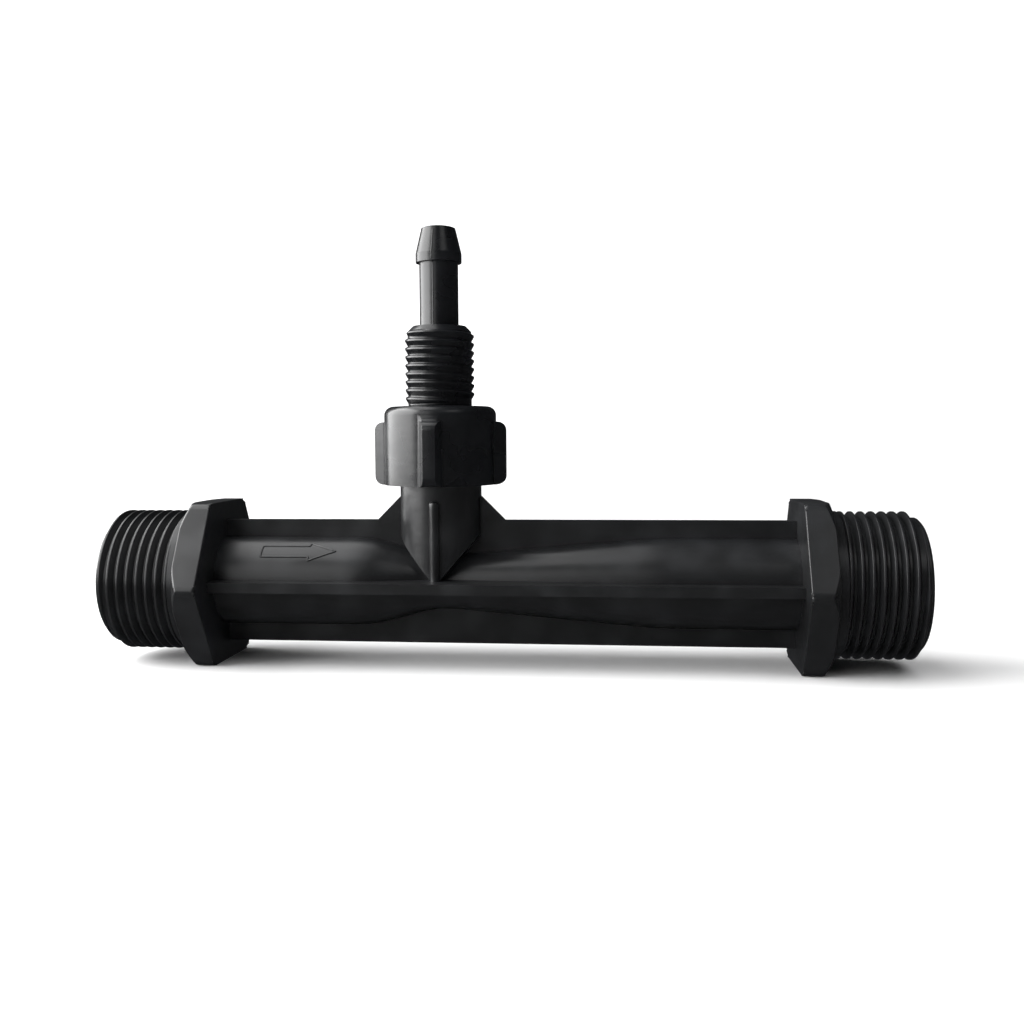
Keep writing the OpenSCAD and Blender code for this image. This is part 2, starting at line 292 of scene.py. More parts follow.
# %% [markdown]
# ## Screw threads
# The solids carry their outside threads as closed rings, which is enough to fit them. A real thread is one
# ridge that climbs round a core. It could be modelled by spinning a tooth, but a thread is a path with a
# rule, so Geometry Nodes suit it: a spiral, a tooth-shaped profile with rounded corners swept along it,
# thinner at its two ends, and a boolean that grows it onto the core. The tree has an input for every size, so
# the pipe threads and the tail's thread share it.

# %% Geometry tree: screw thread
thread, thread_in, thread_out = new_group(
    "screw_thread", "GeometryNodeTree",
    [("Core", "NodeSocketGeometry", None),
     ("Root Radius", "NodeSocketFloat", 0.012),
     ("Depth", "NodeSocketFloat", 0.001),
     ("Root Width", "NodeSocketFloat", 0.0015),
     ("Crest Width", "NodeSocketFloat", 0.0003),
     ("Crest Shift", "NodeSocketFloat", 0.0),
     ("Crest Round", "NodeSocketFloat", 0.0001),
     ("Pitch", "NodeSocketFloat", 0.0018),
     ("Turns", "NodeSocketFloat", 7.0),
     ("Fade Turns", "NodeSocketFloat", 0.4),
     ("Place", "NodeSocketVector", None),
     ("Turn", "NodeSocketRotation", None),
     ("Material", "NodeSocketMaterial", None)],
    [("Piece", "NodeSocketGeometry", None)])
size = thread_in.outputs
climb = math_node(thread, "MULTIPLY", size["Turns"], size["Pitch"])
spiral = add(thread, "GeometryNodeCurveSpiral", {
    "Resolution": 72, "Rotations": size["Turns"], "Start Radius": size["Root Radius"],
    "End Radius": size["Root Radius"], "Height": climb})
path = add(thread, "GeometryNodeSetCurveNormal", {"Curve": spiral.outputs[0]}, mode="Z_UP")
along = add(thread, "GeometryNodeSplineParameter").outputs["Factor"]
turns_in = math_node(thread, "MULTIPLY", along, size["Turns"])
turns_left = math_node(thread, "SUBTRACT", size["Turns"], turns_in)
nearest_end = math_node(thread, "MINIMUM", turns_in, turns_left)
to_end = math_node(thread, "DIVIDE", nearest_end, size["Fade Turns"])
fade = add(thread, "ShaderNodeMapRange", {
    "Value": to_end, "To Min": 0.12}, interpolation_type="SMOOTHERSTEP")
tooth = add(thread, "GeometryNodeCurvePrimitiveQuadrilateral", {
    "Bottom Width": size["Root Width"], "Top Width": size["Crest Width"], "Height": size["Depth"],
    "Offset": size["Crest Shift"]}, mode="TRAPEZOID")
half_depth = math_node(thread, "MULTIPLY", size["Depth"], -0.5)
lift = add(thread, "ShaderNodeCombineXYZ", {"X": half_depth})
stood = add(thread, "GeometryNodeTransform", {
    "Geometry": tooth.outputs[0], "Translation": lift.outputs[0], "Rotation": (0, 0, math.radians(90))})
rounded = add(thread, "GeometryNodeFilletCurve", {
    "Curve": stood.outputs[0], "Count": 3, "Radius": size["Crest Round"], "Limit Radius": True}, mode="POLY")
ridge = add(thread, "GeometryNodeCurveToMesh", {
    "Curve": path.outputs[0], "Profile Curve": rounded.outputs[0], "Scale": fade.outputs[0],
    "Fill Caps": True})
placed = add(thread, "GeometryNodeTransform", {
    "Geometry": ridge.outputs[0], "Translation": size["Place"], "Rotation": size["Turn"]})
grown = add(thread, "GeometryNodeMeshBoolean", operation="UNION", solver="MANIFOLD")
thread.links.new(size["Core"], grown.inputs["Mesh 2"])
thread.links.new(placed.outputs[0], grown.inputs["Mesh 2"])
real = add(thread, "GeometryNodeRealizeInstances", {"Geometry": grown.outputs[0]})
coloured = add(thread, "GeometryNodeSetMaterial", {
    "Geometry": real.outputs[0], "Material": size["Material"]})
thread.links.new(coloured.outputs[0], thread_out.inputs["Piece"])
print("tree:", thread.name)


# %% [markdown]
# ## From a solid to a piece that can be dressed
# A solid arrives as loose triangles. A copy of it is merged into one skin, and triangles that lie in one
# plane are dissolved into whole faces, so that an edge of the copy is an edge of the real thing. The solid
# itself is never touched.

# %% Helpers for pieces
MERGE = 0.001 * MM
TOUCH = 0.01 * MM
FLAT_ANGLE = math.radians(0.4)


def whole_faces(bm):
    """Dissolve the edges between faces that lie in one plane."""
    bmesh.ops.dissolve_limit(bm, angle_limit=FLAT_ANGLE, verts=bm.verts, edges=bm.edges)


def skin_of(node):
    """A merged copy of a solid's mesh, with flat faces whole."""
    bm = bmesh.new()
    bm.from_mesh(frame["nodes"][node].data)
    bmesh.ops.remove_doubles(bm, verts=bm.verts, dist=MERGE)
    whole_faces(bm)
    return bm


def open_edges(bm):
    """How many edges do not have a face on both sides."""
    return sum(1 for e in bm.edges if not e.is_manifold)


def mesh_of(bm, name):
    """Turn a bmesh into a mesh and free it."""
    mesh = bpy.data.meshes.new(name)
    bm.to_mesh(mesh)
    bm.free()
    return mesh


def baked(obj):
    """The object's mesh with its modifiers worked in."""
    depsgraph = bpy.context.evaluated_depsgraph_get()
    mesh = bpy.data.meshes.new_from_object(obj.evaluated_get(depsgraph), depsgraph=depsgraph)
    obj.modifiers.clear()
    return mesh


def grow(name, tree, mesh, values):
    """Run a geometry tree on a mesh and keep the result as a plain object."""
    obj = bpy.data.objects.new(name, mesh)
    scene.collection.objects.link(obj)
    modifier = obj.modifiers.new(tree.name, "NODES")
    modifier.node_group = tree
    sockets = {s.name: s.identifier for s in tree.interface.items_tree if s.in_out == "INPUT"}
    for label, value in values.items():
        modifier[sockets[label]] = value
    obj.data = baked(obj)
    return obj


# %% [markdown]
# ## Shading
# Smooth shading blends the directions of neighbouring faces, and that is wrong where a large flat face meets
# a narrow rounded edge. The first helper weighs the faces by their size. The other two set the shading
# normals of faces whose real form is known, because the triangles of a solid are uneven.

# %% Helpers for shading
SHARP_ANGLE = 32
FACE_WEIGHT = 100
SAME_SIDE = 0.5
SQUARE_ON = 0.9999


def shade(obj, angle=SHARP_ANGLE):
    """Smooth shading, crisp at edges sharper than an angle; large faces stay flat beside rounded edges."""
    obj.data.shade_smooth()
    obj.data.set_sharp_from_angle(angle=math.radians(angle))
    weighted = obj.modifiers.new("weighted_normals", "WEIGHTED_NORMAL")
    weighted.keep_sharp = True
    weighted.weight = FACE_WEIGHT
    obj.data = baked(obj)
    loose = sum(1 for e in obj.data.edges if e.is_loose)
    print(f"{obj.name}: {len(obj.data.polygons)} faces, {loose} loose edges")


def true_normals(obj, rules):
    """Set the normals of faces of known form: rules are (is a point on it, normal at a point)."""
    mesh = obj.data
    normals = [corner.vector.copy() for corner in mesh.corner_normals]
    for face in mesh.polygons:
        points = [mesh.vertices[v].co for v in face.vertices]
        known = next((normal for belongs, normal in rules
                      if all(belongs(p) for p in points)
                      and normal(face.center).dot(face.normal) > SAME_SIDE), None)
        square_on = max(abs(c) for c in face.normal) > SQUARE_ON
        if known or square_on:
            for loop, point in zip(face.loop_indices, points):
                normals[loop] = known(point) if known else face.normal
    mesh.normals_split_custom_set(normals)


def turned_normals(obj, keep, origin, axis):
    """Shade the faces whose middle passes keep as round: each keeps its slope, turned round an axis."""
    mesh = obj.data
    normals = [corner.vector.copy() for corner in mesh.corner_normals]

    def outward(point):
        away = point - origin
        return (away - axis * away.dot(axis)).normalized()

    for face in mesh.polygons:
        if keep(face.center):
            out = face.normal.dot(outward(face.center))
            rise = face.normal.dot(axis)
            for loop, vertex in zip(face.loop_indices, face.vertices):
                normals[loop] = (out * outward(mesh.vertices[vertex].co) + rise * axis).normalized()
    mesh.normals_split_custom_set(normals)


# %% [markdown]
# ## Cuts and soft edges
# Moulded edges are found by their angle and their place, and rounded with a bevel. Long faces are first cut
# into rows with planes, so that there are points to move and the shading stays local.

# %% Helpers for edges and cuts
SOFT_STEPS = 3


def soften(bm, edges, width, clamp=True):
    """Round the given edges; clamped, the round gets smaller where short edges leave it no room."""
    bmesh.ops.bevel(bm, geom=edges, offset=width, offset_type="OFFSET", segments=SOFT_STEPS,
                    profile=0.5, affect="EDGES", clamp_overlap=clamp)


def cut_plane(bm, point, normal, keep):
    """Cut the faces whose middle passes keep along a plane."""
    faces = [f for f in bm.faces if keep(f.calc_center_median())]
    parts = set(faces)
    for f in faces:
        parts.update(f.edges)
        parts.update(f.verts)
    bmesh.ops.bisect_plane(bm, geom=list(parts), plane_co=point, plane_no=normal, dist=MERGE)


def cut_rows(bm, axis, places, keep):
    """Cut faces with planes square to an axis."""
    for place in places:
        cut_plane(bm, axis * place, axis, keep)


def outside_edges(bm, least_angle, keep):
    """Convex edges sharper than an angle, where keep(point) is true at both ends."""
    return [e for e in bm.edges
            if len(e.link_faces) == 2
            and e.calc_face_angle_signed() > math.radians(least_angle)
            and all(keep(v.co) for v in e.verts)]


# %% [markdown]
# ## The body
# On the real body the ribs, webs and hexagons come out of the mould with soft edges, and those edges catch
# the light as thin bright lines. The copy of the solid has sharp ones, so the ring threads are first pressed
# down to a plain core, then the outer edges are rounded, and last the two screw threads grow on the core.

# %% Press the rings down to a core
def from_pipe(point):
    """Distance of a point from the pipe's axis."""
    return math.hypot(point.y, point.z - pipe_z)


def scale_from_pipe(v, scale):
    """Move a point straight towards the pipe's axis, or away from it."""
    v.co.y *= scale
    v.co.z = pipe_z + (v.co.z - pipe_z) * scale


ring_root = pipe_crest - RING_DEPTH * PIPE_PITCH
pipe_root = pipe_crest - PIPE_FORM["depth"] * PIPE_PITCH
body_skin = skin_of("body")
for v in body_skin.verts:
    if abs(v.co.x) > collar_start + TOUCH and from_pipe(v.co) > ring_root - TOUCH:
        scale_from_pipe(v, pipe_root / from_pipe(v.co))
whole_faces(body_skin)
print(f"body core: {len(body_skin.faces)} faces, {open_edges(body_skin)} open edges")

# %% [markdown]
# ## The corners of the hexagons
# The corners of a moulded hexagon are round. A bevel would stop early there, because the chamfers on the
# hexagon's ends leave many short edges. So planes through the pipe's axis cut each corner into narrow strips,
# and the points of the strips are moved in to the round.

# %% Round the corners of the hexagons
SIDE_TURN = math.radians(60)
HALF_TURN = math.radians(30)
CORNER_ROUND = 2 * MM
CORNER_STEPS = 3
HEX_CORE = 14 * MM
hex_flat = pipe_z - body_low.z
hex_inside = hex_outside - HEX_THICK
round_centre = (hex_flat - CORNER_ROUND) / math.cos(HALF_TURN)
round_half = math.atan2(CORNER_ROUND / 2, round_centre + CORNER_ROUND * math.cos(HALF_TURN))


def beside_hexagon(point):
    return hex_inside - TOUCH < abs(point.x) < hex_outside + TOUCH


def on_hexagon(point):
    return beside_hexagon(point) and from_pipe(point) > HEX_CORE


def from_corner(point):
    """Angle round the pipe between a point and the nearest corner of the hexagon."""
    turn = math.atan2(point.z - pipe_z, point.y)
    return turn - SIDE_TURN * round(turn / SIDE_TURN)


def sharp_reach(away):
    """Distance of the sharp hexagon's outline from the pipe's axis, at an angle from a corner."""
    return hex_flat / math.cos(HALF_TURN - abs(away))


def round_reach(away):
    """The same for the outline with round corners."""
    if abs(away) > round_half:
        return sharp_reach(away)
    aside = round_centre * math.sin(away)
    return round_centre * math.cos(away) + math.sqrt(CORNER_ROUND ** 2 - aside ** 2)


for corner in range(6):
    for step in range(-CORNER_STEPS, CORNER_STEPS + 1):
        turn = SIDE_TURN * corner + round_half * step / CORNER_STEPS
        outward = Vector((0, math.cos(turn), math.sin(turn)))
        cut_plane(body_skin, pipe_centre, ALONG.cross(outward),
                  lambda middle: beside_hexagon(middle) and (middle - pipe_centre).dot(outward) > 0)
corner_verts = [v for v in body_skin.verts if on_hexagon(v.co) and abs(from_corner(v.co)) <= round_half]
for v in corner_verts:
    away = from_corner(v.co)
    scale_from_pipe(v, round_reach(away) / sharp_reach(away))
print(f"hexagon corners: {len(corner_verts)} points set to a round, {open_edges(body_skin)} open edges")

# %% [markdown]
# ## Soft edges
# The hexagons get the narrowest round, the ribs and webs a wider one and the wedge under the port the widest.
# On the hexagons the round isn't clamped, so it can push points out where edges are short; they are set back
# on the outline.

# %% Round the hexagons, the ribs and the webs
HEX_SOFT = 0.25 * MM
RIB_SOFT = 0.4 * MM
WEDGE_SOFT = 0.5 * MM
RIB_NEAR = 0.1 * MM
WEDGE_NEAR = 0.02 * MM
wedge_top = pipe_z + 9.2 * MM
web_top = pipe_z + 17 * MM


def on_rib(point):
    return (abs(point.x) < hex_inside + TOUCH and from_pipe(point) > RIB_REACH - RIB_NEAR
            and point.z < web_top)


def on_wedge(point):
    reach = math.hypot(point.x - port_x, point.y)
    return abs(reach - BOSS_RADIUS) < WEDGE_NEAR and pipe_z < point.z < wedge_top


hex_edges = outside_edges(body_skin, 20, on_hexagon)
soften(body_skin, hex_edges, HEX_SOFT, clamp=False)
for v in body_skin.verts:
    if on_hexagon(v.co):
        scale_from_pipe(v, min(1, round_reach(from_corner(v.co)) / from_pipe(v.co)))
rib_edges = outside_edges(body_skin, 30, on_rib)
soften(body_skin, rib_edges, RIB_SOFT)
wedge_edges = outside_edges(body_skin, 15, on_wedge)
soften(body_skin, wedge_edges, WEDGE_SOFT)
print(f"rounded {len(hex_edges)} hexagon, {len(rib_edges)} rib and {len(wedge_edges)} wedge edges, "
      f"{open_edges(body_skin)} open edges")

# %% [markdown]
# ## Rows along the pipe
# The pipe between the hexagons is cut into even rows, with a pair of extra cuts close to each bend of the
# venturi. The port is cut into level rows.

# %% Cut the long faces into rows
ROW = 1.6 * MM
ROWS_EACH_WAY = 32
LEVEL = 1 * MM
LEVELS = 18
NEAR_BEND = 0.35 * MM
PORT_REACH = 9 * MM
bends = [port_x + bend for bend, radius in VENTURI]
rows = [n * ROW for n in range(-ROWS_EACH_WAY, ROWS_EACH_WAY + 1)]
rows += [bend + side * NEAR_BEND for bend in bends for side in (-1, 1)]
cut_rows(body_skin, ALONG, rows, lambda middle: abs(middle.x) < hex_inside)
levels = [pipe_z + n * LEVEL for n in range(1, LEVELS + 1)]
cut_rows(body_skin, UPRIGHT, levels,
         lambda middle: abs(middle.x - port_x) < PORT_REACH and middle.z > pipe_z)
print(f"body in rows: {len(body_skin.faces)} faces, {open_edges(body_skin)} open edges")

# %% [markdown]
# ## The flowing outline of the venturi
# The solid's pipe is two straight cones between straight tubes. In the photograph the tube flows into the
# cone without a corner. Now that the pipe is cut into short rows, each row can be set to the mean of the
# outline a little before and after it, which rounds the bends and leaves the tubes and the cones as they are.

# %% Round the bends of the venturi
BEND_SOFT = 3 * MM
BEND_STEPS = 6
PIPE_NEAR = 0.1 * MM


def straight_radius(x):
    """Outside radius of the pipe at x, with sharp bends."""
    place = x - port_x
    for (low, low_radius), (high, high_radius) in zip(VENTURI, VENTURI[1:]):
        if low <= place <= high:
            return low_radius + (high_radius - low_radius) * (place - low) / (high - low)
    return TUBE_RADIUS


def flowing_radius(x):
    """The same outline with its bends rounded."""
    near = [straight_radius(x + n * BEND_SOFT / BEND_STEPS) for n in range(-BEND_STEPS, BEND_STEPS + 1)]
    return sum(near) / len(near)


def on_outline(point, radius_at):
    """Whether a point between the hexagons lies on a pipe with the given outline."""
    return abs(point.x) < hex_inside + TOUCH and abs(from_pipe(point) - radius_at(point.x)) < PIPE_NEAR


pipe_verts = {v for f in body_skin.faces
              if all(on_outline(v.co, straight_radius) for v in f.verts) for v in f.verts}
for v in pipe_verts:
    radius = flowing_radius(v.co.x)
    side = v.co.y
    height = v.co.z - pipe_z
    if abs(abs(side) - RIB_HALF) < TOUCH:
        v.co.z = pipe_z + math.copysign(math.sqrt(radius ** 2 - side ** 2), height)
    elif abs(abs(height) - RIB_HALF) < TOUCH:
        v.co.y = math.copysign(math.sqrt(radius ** 2 - height ** 2), side)
    else:
        scale_from_pipe(v, radius / from_pipe(v.co))
print(f"pipe: {len(pipe_verts)} points set to a flowing outline")

# %% [markdown]
# ## The pipe threads
# Both ends get the same thread, turned so that it climbs away from the hexagon. The tooth starts a little
# inside the core, so that the boolean has a clear crossing, and stays a hair below the stated crest.

# %% Grow the pipe threads
SUNK = 0.15 * MM
SHY = 0.02 * MM
LEAST_LEAD = 0.7 * MM
CREST_ROUND = 0.06
FADE_TURNS = 0.45


def thread_values(crest, pitch, form, turns, place, turn, material):
    """Inputs of the thread tree for a crest radius, a pitch and the form of the tooth."""
    depth = form["depth"] * pitch
    sunk_share = (depth + SUNK) / depth
    return {
        "Root Radius": crest - depth - SUNK,
        "Depth": depth + SUNK - SHY,
        "Root Width": (form["crest"] + (form["root"] - form["crest"]) * sunk_share) * pitch,
        "Crest Width": form["crest"] * pitch,
        "Crest Shift": form["shift"] * sunk_share * pitch,
        "Crest Round": CREST_ROUND * pitch,
        "Pitch": pitch,
        "Turns": turns,
        "Fade Turns": FADE_TURNS,
        "Place": place,
        "Turn": turn,
        "Material": material,
    }


body_mesh = mesh_of(body_skin, "injector_body")
inlet_end = body_low.x + LEAST_LEAD
outlet_end = body_high.x - LEAST_LEAD
pipe_turns = (outlet_end - collar_start + PIPE_PITCH / 2) / PIPE_PITCH
for label, end, quarter in (("inlet", inlet_end, 90), ("outlet", outlet_end, -90)):
    injector_body = grow("injector_body", thread, body_mesh, thread_values(
        pipe_crest, PIPE_PITCH, PIPE_FORM, pipe_turns, place=(end, 0, pipe_z),
        turn=(0, math.radians(quarter), 0), material=body_plastic))
    body_mesh = injector_body.data.copy()
    if label == "inlet":
        bpy.data.objects.remove(injector_body)
    print(f"{label} thread: {pipe_turns:.2f} turns")
shade(injector_body)

# %% [markdown]
# ## Even shading
# The triangles of a solid are uneven: long slivers lie where a rib meets a cone, and smooth shading shows
# them as smears. The form of these faces is known, so their shading normals are set from it: straight out
# from the pipe's outline on the pipe, straight out from the port's axis on the boss, and square on flat
# faces. On the threads each face keeps its own slope and is only turned round the axis.

# %% Set the normals of the pipe, the boss and the flats
SLOPE_STEP = 0.05 * MM
BOSS_NEAR = 0.03 * MM


def on_flowing_pipe(point):
    return on_outline(point, flowing_radius)


def pipe_normal(point):
    rise = (flowing_radius(point.x + SLOPE_STEP) - flowing_radius(point.x - SLOPE_STEP)) / (2 * SLOPE_STEP)
    reach = from_pipe(point)
    return Vector((-rise, point.y / reach, (point.z - pipe_z) / reach)).normalized()


def on_boss(point):
    return abs(math.hypot(point.x - port_x, point.y) - BOSS_RADIUS) < BOSS_NEAR and point.z > pipe_z


def boss_normal(point):
    return Vector((point.x - port_x, point.y, 0)).normalized()


true_normals(injector_body, [(on_flowing_pipe, pipe_normal), (on_boss, boss_normal)])
turned_normals(injector_body, lambda middle: abs(middle.x) > hex_outside + TOUCH, pipe_centre, ALONG)
print("normals set on", injector_body.name)

# %% [markdown]
# ## The hose tail
# The tail is one moulding: a flange, a stem with an outside thread for a clamping nut, a plain stem and a
# barb. It is dressed as the body is.

# %% Dress the hose tail
TAIL_ROW = 0.8 * MM
TAIL_ROWS = 21
tail_skin = skin_of("hose_tail")
tail_ring_root = tail_crest - RING_DEPTH * TAIL_PITCH
tail_root = tail_crest - TAIL_FORM["depth"] * TAIL_PITCH
thread_low = tail_thread_z - tail_thread_length / 2 - TAIL_PITCH / 2
thread_high = tail_thread_z + tail_thread_length / 2 + TAIL_PITCH / 2
for v in tail_skin.verts:
    reach = math.hypot(v.co.x - port_x, v.co.y)
    if thread_low < v.co.z < thread_high and reach > tail_ring_root - TOUCH:
        v.co.x = port_x + (v.co.x - port_x) * tail_root / reach
        v.co.y *= tail_root / reach
whole_faces(tail_skin)
levels = [tail_high.z - n * TAIL_ROW for n in range(1, TAIL_ROWS + 1)]
cut_rows(tail_skin, UPRIGHT, levels, lambda middle: middle.z > thread_high)
tail_turns = (thread_high - thread_low - TAIL_PITCH / 2) / TAIL_PITCH
hose_tail = grow("threaded_hose_tail", thread, mesh_of(tail_skin, "threaded_hose_tail"), thread_values(
    tail_crest, TAIL_PITCH, TAIL_FORM, tail_turns, place=(port_x, 0, thread_low + TAIL_PITCH / 4),
    turn=(0, 0, 0), material=fitting_plastic))
shade(hose_tail)
turned_normals(hose_tail, lambda middle: True, Vector((port_x, 0, 0)), UPRIGHT)

# %% [markdown]
# ## Raised lines
# Two kinds of thin raised line are on the real part. An arrow outline on the inlet tube shows which way the
# water flows; it is cut into the mould. Along the front and back of the hose tail the two halves of its mould
# left a seam. A path of edges with a round bead swept along it gives both, and a little noise in the bead's
# thickness makes the seam look like flash and not like wire.

# %% Geometry tree: raised line
bead, bead_in, bead_out = new_group(
    "raised_line", "GeometryNodeTree",
    [("Path", "NodeSocketGeometry", None),
     ("Bead Radius", "NodeSocketFloat", 0.0002),
     ("Step", "NodeSocketFloat", 0.0004),
     ("Unevenness", "NodeSocketFloat", 0.0),
     ("Material", "NodeSocketMaterial", None)],
    [("Piece", "NodeSocketGeometry", None)])
line = add(bead, "GeometryNodeMeshToCurve", {"Mesh": bead_in.outputs["Path"]})
even = add(bead, "GeometryNodeResampleCurve", {
    "Curve": line.outputs[0], "Length": bead_in.outputs["Step"]}, mode="LENGTH")
where = add(bead, "GeometryNodeInputPosition").outputs[0]
noise = add(bead, "ShaderNodeTexNoise", {"Vector": where, "Scale": 900.0, "Detail": 2.0})
about_zero = math_node(bead, "SUBTRACT", noise.outputs["Fac"], 0.5)
swing = math_node(bead, "MULTIPLY", about_zero, bead_in.outputs["Unevenness"])
ring = add(bead, "GeometryNodeCurvePrimitiveCircle", {
    "Resolution": 10, "Radius": bead_in.outputs["Bead Radius"]})
swept = add(bead, "GeometryNodeCurveToMesh", {
    "Curve": even.outputs[0], "Profile Curve": ring.outputs[0], "Scale": math_node(bead, "ADD", swing, 1.0),
    "Fill Caps": True})
real = add(bead, "GeometryNodeRealizeInstances", {"Geometry": swept.outputs[0]})
coloured = add(bead, "GeometryNodeSetMaterial", {
    "Geometry": real.outputs[0], "Material": bead_in.outputs["Material"]})
bead.links.new(coloured.outputs[0], bead_out.inputs["Piece"])
print("tree:", bead.name)

# %% [markdown]
# ## The flow arrow
# The arrow is drawn flat, as corners with a place along the tube and a distance round it, and each side is
# then bent onto the tube in small steps.

# %% Flow arrow
ARROW_TILT = math.radians(47)
ARROW_SINK = 0.06 * MM
ARROW_BEAD = 0.2 * MM
ARROW_STEP = 0.35 * MM
TAIL_X, NECK_X, TIP_X = -44.4 * MM, -35.4 * MM, -30.4 * MM
SHAFT_HALF, HEAD_HALF = 1.3 * MM, 2.1 * MM
SIDE_STEPS = 6
BEAD_SHARP_ANGLE = 60


def path_mesh(name, lines, closed):
    """A mesh of edges that runs through each list of points."""
    bm = bmesh.new()
    for points in lines:
        row = [bm.verts.new(p) for p in points]
        for a, b in zip(row, row[1:] + row[:1] if closed else row[1:]):
            bm.edges.new((a, b))
    return mesh_of(bm, name)


def on_tube(x, offset):
    """A point on the inlet tube, at a distance round it from the arrow's middle line."""
    turn = ARROW_TILT + offset / TUBE_RADIUS
    reach = TUBE_RADIUS - ARROW_SINK
    return (x, -reach * math.cos(turn), pipe_z + reach * math.sin(turn))


corners = [(TAIL_X, -SHAFT_HALF), (NECK_X, -SHAFT_HALF), (NECK_X, -HEAD_HALF), (TIP_X, 0),
           (NECK_X, HEAD_HALF), (NECK_X, SHAFT_HALF), (TAIL_X, SHAFT_HALF)]
outline = [on_tube(ax + (bx - ax) * n / SIDE_STEPS, ay + (by - ay) * n / SIDE_STEPS)
           for (ax, ay), (bx, by) in zip(corners, corners[1:] + corners[:1]) for n in range(SIDE_STEPS)]
flow_arrow = grow("flow_arrow", bead, path_mesh("flow_arrow", [outline], True), {
    "Bead Radius": ARROW_BEAD, "Step": ARROW_STEP, "Unevenness": 0.3, "Material": body_plastic})
shade(flow_arrow, BEAD_SHARP_ANGLE)

# %% [markdown]
# ## The seams of the hose tail
# A seam follows the outline of the tail from the thread up over the barb, once at the front and once at the
# back.

# %% Mould seams
SEAM_TURN = math.radians(-8)
SEAM_BEAD = 0.13 * MM
SEAM_SINK = 0.05 * MM
SEAM_STEP = 0.3 * MM
SEAM_START = 0.3 * MM
BARB_EDGE = 0.1 * MM
BARB_LAND = 1.6 * MM
BARB_END = 5.6 * MM
BARB_TAPER = 0.95 * MM
shoulder_z = mounts["hose_barb"]["pos_m"][2]
seam_profile = [(STEM_RADIUS, thread_high + SEAM_START), (STEM_RADIUS, shoulder_z - BARB_EDGE),
                (BARB_RADIUS, shoulder_z + BARB_EDGE), (BARB_RADIUS, shoulder_z + BARB_LAND),
                (BARB_RADIUS - BARB_TAPER, shoulder_z + BARB_END)]


def on_seam(side, radius, z):
    """A point of a seam, sunk a little into the tail; side is 1 at the front and -1 at the back."""
    reach = side * (radius - SEAM_SINK)
    return (port_x + reach * math.sin(SEAM_TURN), -reach * math.cos(SEAM_TURN), z)


seams = [[on_seam(side, radius, z) for radius, z in seam_profile] for side in (1, -1)]
tail_seams = grow("tail_seams", bead, path_mesh("tail_seams", seams, False), {
    "Bead Radius": SEAM_BEAD, "Step": SEAM_STEP, "Unevenness": 1.2, "Material": fitting_plastic})
shade(tail_seams, BEAD_SHARP_ANGLE)

# %% [markdown]
# ## The union nut
# The nut is gripped by its four lugs. The solid has the rounded rim; the upright edges of the lugs are
# softened here.

# %% Dress the union nut
LUG_OUT = 1.9 * MM
LUG_NEAR = 0.1 * MM
LUG_SOFT = 0.6 * MM
LEAST_HEIGHT = 2 * MM
nut_skin = skin_of("union_nut")
nut_radius = (nut_high.x - nut_low.x) / 2


def on_lug(point):
    return math.hypot(point.x - port_x, point.y) > nut_radius - LUG_OUT - LUG_NEAR


lug_edges = [e for e in outside_edges(nut_skin, 25, on_lug)
             if abs(e.verts[0].co.z - e.verts[1].co.z) > LEAST_HEIGHT]
soften(nut_skin, lug_edges, LUG_SOFT)
union_nut = bpy.data.objects.new("lugged_union_nut", mesh_of(nut_skin, "lugged_union_nut"))
scene.collection.objects.link(union_nut)
union_nut.data.materials.append(fitting_plastic)
shade(union_nut)

# %% [markdown]
# ## Seating the pieces on their bodies
# Each dressed piece stands for its solid and rides on the body that moves it. The seal ring and the ball keep
# their solids and only get a finish.

# %% Ride and replace
for piece, node, body in ((injector_body, "body", "injector"), (hose_tail, "hose_tail", "tail"),
                          (union_nut, "union_nut", "nut")):
    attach(piece, body)
    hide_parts(node)
for piece, body, slot in ((flow_arrow, "injector", "body"), (tail_seams, "tail", "hose_tail")):
    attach(piece, body)
for node, material in (("seal_ring", seal_rubber), ("check_ball", ball_plastic)):
    mesh = frame["nodes"][node].data
    mesh.materials.clear()
    mesh.materials.append(material)
    print("finish on the solid:", node, material.name)

# %% [markdown]
# ## Floor
# A pale sheet lies under the part and curves up all round it, so no horizon shows from any side. It is a
# profile spun round the upright axis, in two pieces of one paper. The near piece throws soft light up on the
# part. The far piece glows a little, so that it stays pale where the lights don't reach, and throws none.
# Neither is seen in the plastic's reflections, because they would put a bright rim on the dark side.

# %% Floor
NEAR_RADIUS = 0.6
FLOOR_RADIUS = 1.0
SWEEP_RADIUS = 0.4
SWEEP_STEP = 5
WALL_TOP = 2.5
SPIN_STEPS = 96
GLOW_FROM, GLOW_FULL, GLOW = 0.3, 1.0, 0.9
paper = bpy.data.materials.new("pale_paper")
paper.use_nodes = True
paper.cycles.emission_sampling = "NONE"
paper_shader = paper.node_tree.nodes["Principled BSDF"]
paper_shader.inputs["Base Color"].default_value = (0.9, 0.9, 0.9, 1)
paper_shader.inputs["Roughness"].default_value = 0.9
paper_shader.inputs["Emission Color"].default_value = (1, 1, 1, 1)
place = add(paper.node_tree, "ShaderNodeTexCoord").outputs["Object"]
far = add(paper.node_tree, "ShaderNodeVectorMath", {0: place}, operation="LENGTH").outputs["Value"]
glow = add(paper.node_tree, "ShaderNodeMapRange", {
    "Value": far, "From Min": GLOW_FROM, "From Max": GLOW_FULL, "To Max": GLOW},
    interpolation_type="SMOOTHSTEP")
paper.node_tree.links.new(glow.outputs[0], paper_shader.inputs["Emission Strength"])


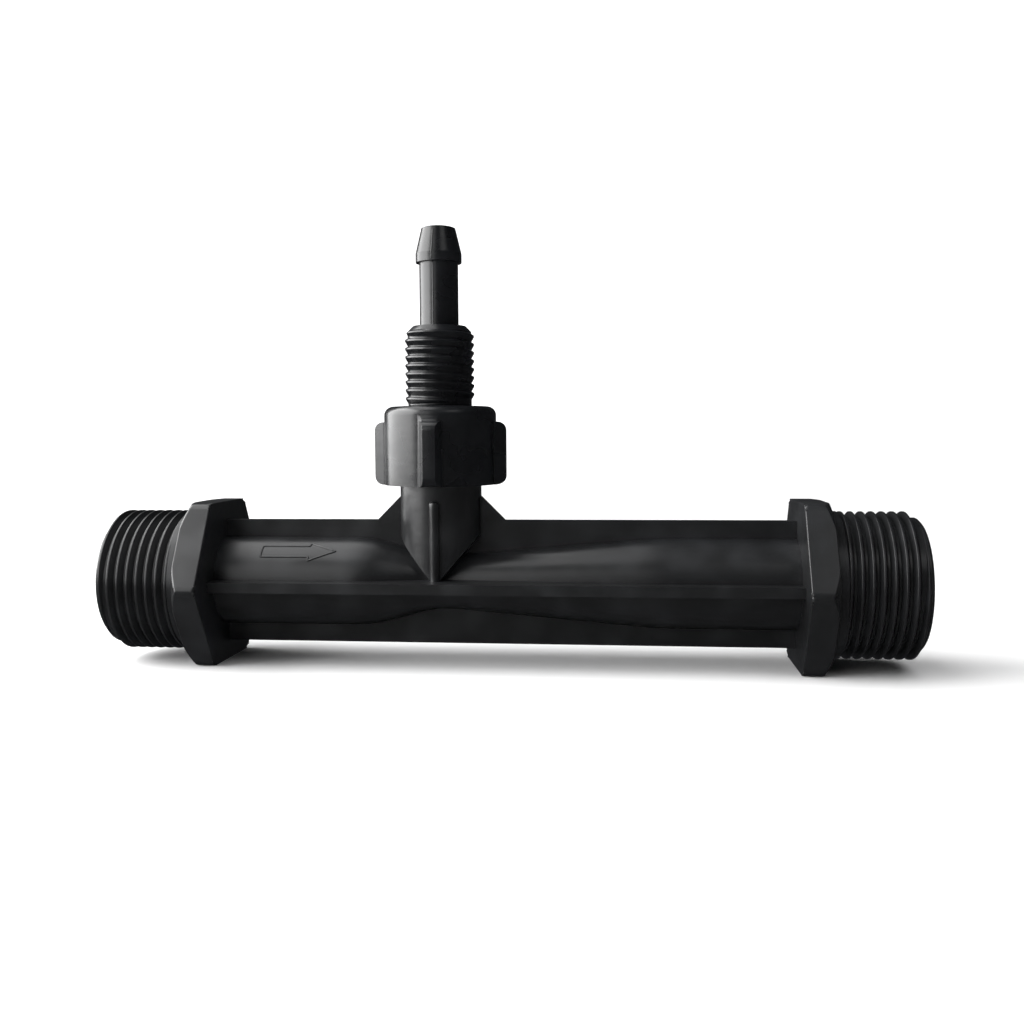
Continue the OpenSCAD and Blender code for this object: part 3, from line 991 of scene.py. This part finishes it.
def spun_sheet(name, profile):
    """A sheet of paper: a profile of (distance from the axis, height) spun round the upright axis."""
    bm = bmesh.new()
    row = [bm.verts.new((x, 0, z)) for x, z in profile]
    line_edges = [bm.edges.new(pair) for pair in zip(row, row[1:])]
    bmesh.ops.spin(bm, geom=row + line_edges, axis=UPRIGHT, cent=(0, 0, 0), steps=SPIN_STEPS,
                   angle=math.tau, use_merge=True)
    bmesh.ops.remove_doubles(bm, verts=bm.verts, dist=TOUCH)
    bmesh.ops.recalc_face_normals(bm, faces=bm.faces)
    if sum(f.normal.z for f in bm.faces) < 0:
        bmesh.ops.reverse_faces(bm, faces=bm.faces)
    sheet = bpy.data.objects.new(name, mesh_of(bm, name))
    scene.collection.objects.link(sheet)
    sheet.data.shade_smooth()
    sheet.data.materials.append(paper)
    sheet.visible_glossy = False
    print(f"{name}: {len(sheet.data.polygons)} faces")
    return sheet


sweep = [(FLOOR_RADIUS + SWEEP_RADIUS * math.sin(math.radians(a)),
          SWEEP_RADIUS * (1 - math.cos(math.radians(a)))) for a in range(0, 91, SWEEP_STEP)]
wall_top = (FLOOR_RADIUS + SWEEP_RADIUS, WALL_TOP)
spun_sheet("floor_near", [(0, 0), (NEAR_RADIUS, 0)])
floor_far = spun_sheet("floor_far", [(NEAR_RADIUS, 0)] + sweep + [wall_top])
floor_far.visible_diffuse = False

# %% [markdown]
# ## Light
# In the photograph the left of every round is bright and the right is nearly black, so one large soft panel
# stands along the left side. Weaker ones stand on both sides of the camera, and one hangs above on the left.
# A wide fill overhead lightens the sheet, and is kept out of the reflections too.


# %% Light
def soft_light(name, place, target, width, height, power):
    """A rectangular soft light that faces a point, in metres and watts."""
    data = bpy.data.lights.new(name, "AREA")
    data.shape = "RECTANGLE"
    data.size = width
    data.size_y = height
    data.energy = power
    light = bpy.data.objects.new(name, data)
    facing = (Vector(target) - Vector(place)).to_track_quat("-Z", "Y")
    light.matrix_world = Matrix.Translation(place) @ facing.to_matrix().to_4x4()
    scene.collection.objects.link(light)
    return light


soft_light("left_panel", place=(-0.5, -0.08, 0.36), target=(0, -0.08, 0.36),
           width=0.8, height=0.7, power=13)
soft_light("front_left_panel", place=(-0.38, -0.62, 0.36), target=(0, 0, 0.2),
           width=0.5, height=0.6, power=1.3)
soft_light("front_right_panel", place=(0.42, -0.55, 0.7), target=(0.05, 0, 0.02),
           width=0.4, height=0.4, power=0.5)
soft_light("top_panel", place=(-0.5, 0.1, 0.8), target=(-0.5, 0.1, 0),
           width=0.8, height=1.0, power=6)
floor_fill = soft_light("floor_fill", place=(0.3, -0.1, 1.4), target=(0.1, 0, 0),
                        width=1.6, height=1.6, power=12)
floor_fill.visible_glossy = False

world = bpy.data.worlds.new("studio")
world.use_nodes = True
world.node_tree.nodes["Background"].inputs["Color"].default_value = (0.9, 0.93, 1.0, 1)
world.node_tree.nodes["Background"].inputs["Strength"].default_value = 0.03
scene.world = world
scene.view_settings.view_transform = "Standard"
